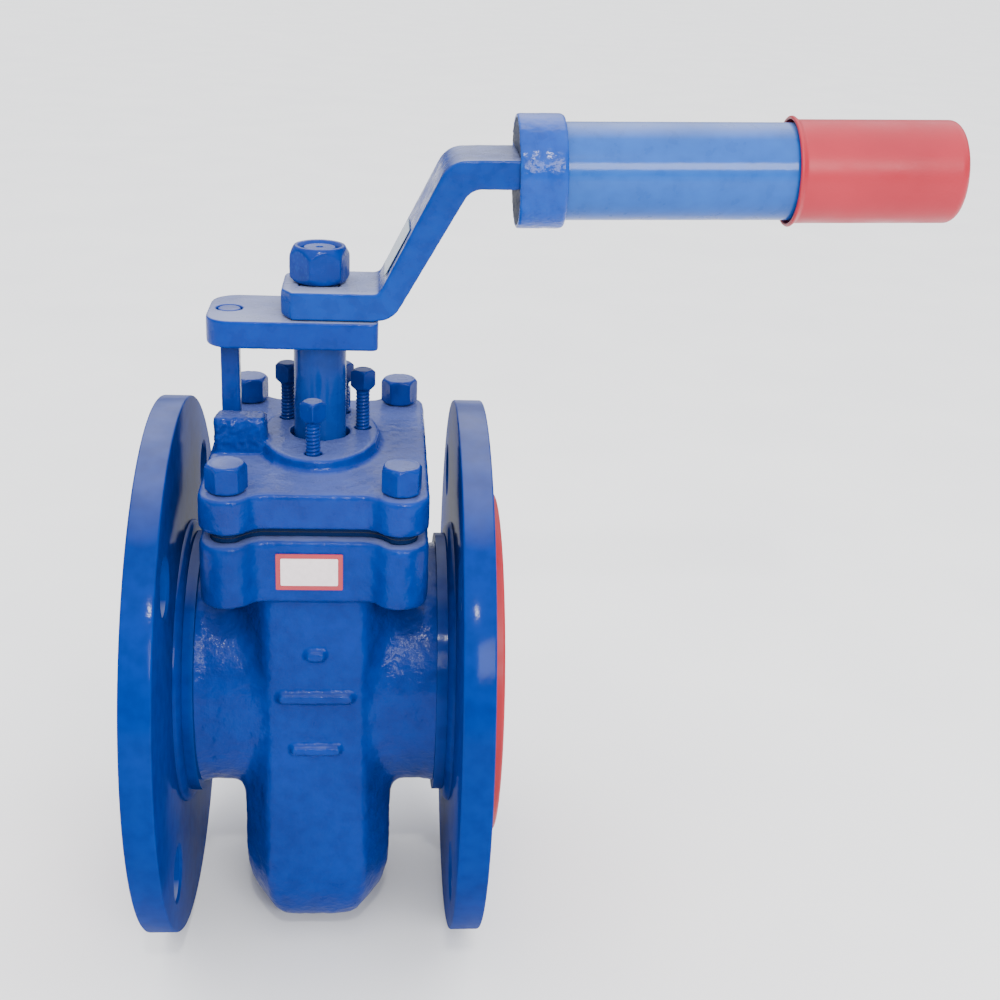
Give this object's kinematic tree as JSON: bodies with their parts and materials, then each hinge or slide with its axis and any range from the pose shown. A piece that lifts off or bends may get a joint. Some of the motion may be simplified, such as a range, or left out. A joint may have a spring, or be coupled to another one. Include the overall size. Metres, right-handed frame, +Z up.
{
  "type": "plug valve",
  "caption": "Flanged quarter-turn plug valve with a bolted bonnet, adjusting screws, stop plate and a cranked lever with a pipe handle and end cap.",
  "frame": {"origin": "centre of the flat foot under the barrel, on the stem axis", "axes": "+Z up along the stem, +X along the flow passage towards the end where the handle points when the valve is open, +Y away from the side with the sticker"},
  "size_m": [0.2707, 0.19, 0.2935],
  "materials": {
    "body_paint": "gloss enamel over a rough casting",
    "bonnet_paint": "gloss enamel over a rough casting",
    "bolt_paint": "thick gloss enamel over bolts",
    "screw_paint": "gloss enamel over threads",
    "stem_paint": "gloss enamel on the stem, bare metal below",
    "operator_paint": "gloss enamel, orange peel",
    "pin_paint": "gloss enamel",
    "lever_paint": "gloss enamel on flat bar",
    "nut_paint": "gloss enamel",
    "collar_paint": "gloss enamel over a rough forging",
    "tube_paint": "smooth gloss enamel",
    "cap_plastic": "soft satin vinyl",
    "cover_plastic": "satin moulded plastic",
    "gasket_paint": "dull enamel over the seal edges",
    "seal_plastic": "waxy white fluoropolymer",
    "bare_steel": "machined",
    "label_foil": "plain grey foil, blank",
    "sticker_paper": "plain sticker with a red border, blank"
  },
  "bodies": {
    "valve": {"valve_body": "body_paint", "plug_sleeve": "seal_plastic", "ptfe_diaphragm": "gasket_paint", "metal_diaphragm": "gasket_paint", "thrust_collar": "bare_steel", "bonnet": "bonnet_paint", "bonnet_bolt_1": "bolt_paint", "bonnet_bolt_2": "bolt_paint", "bonnet_bolt_3": "bolt_paint", "bonnet_bolt_4": "bolt_paint", "adjusting_bolt_1": "screw_paint", "adjusting_bolt_2": "screw_paint", "adjusting_bolt_3": "screw_paint", "adjusting_bolt_4": "screw_paint", "inspection_sticker": "sticker_paper"},
    "operator": {"plug": "stem_paint", "stop_plate": "operator_paint", "stop_pin": "pin_paint", "lever_bar": "lever_paint", "stem_nut": "nut_paint", "handle_collar": "collar_paint", "handle_tube": "tube_paint", "handle_cap": "cap_plastic", "lever_label": "label_foil"},
    "left_cover": {"left_flange_cover": "cover_plastic"},
    "right_cover": {"right_flange_cover": "cover_plastic"}
  },
  "joints": [
    {"name": "quarter_turn", "type": "hinge", "parent": "valve", "child": "operator", "pos_m": [0, 0, 0.0875], "axis": [0, 0, 1], "range_deg": [-90, 0]},
    {"name": "left_cover_off", "type": "slide", "parent": "valve", "child": "left_cover", "axis": [-1, 0, 0], "range_m": [0, 0.05]},
    {"name": "right_cover_off", "type": "slide", "parent": "valve", "child": "right_cover", "axis": [1, 0, 0], "range_m": [0, 0.05]}
  ]
}
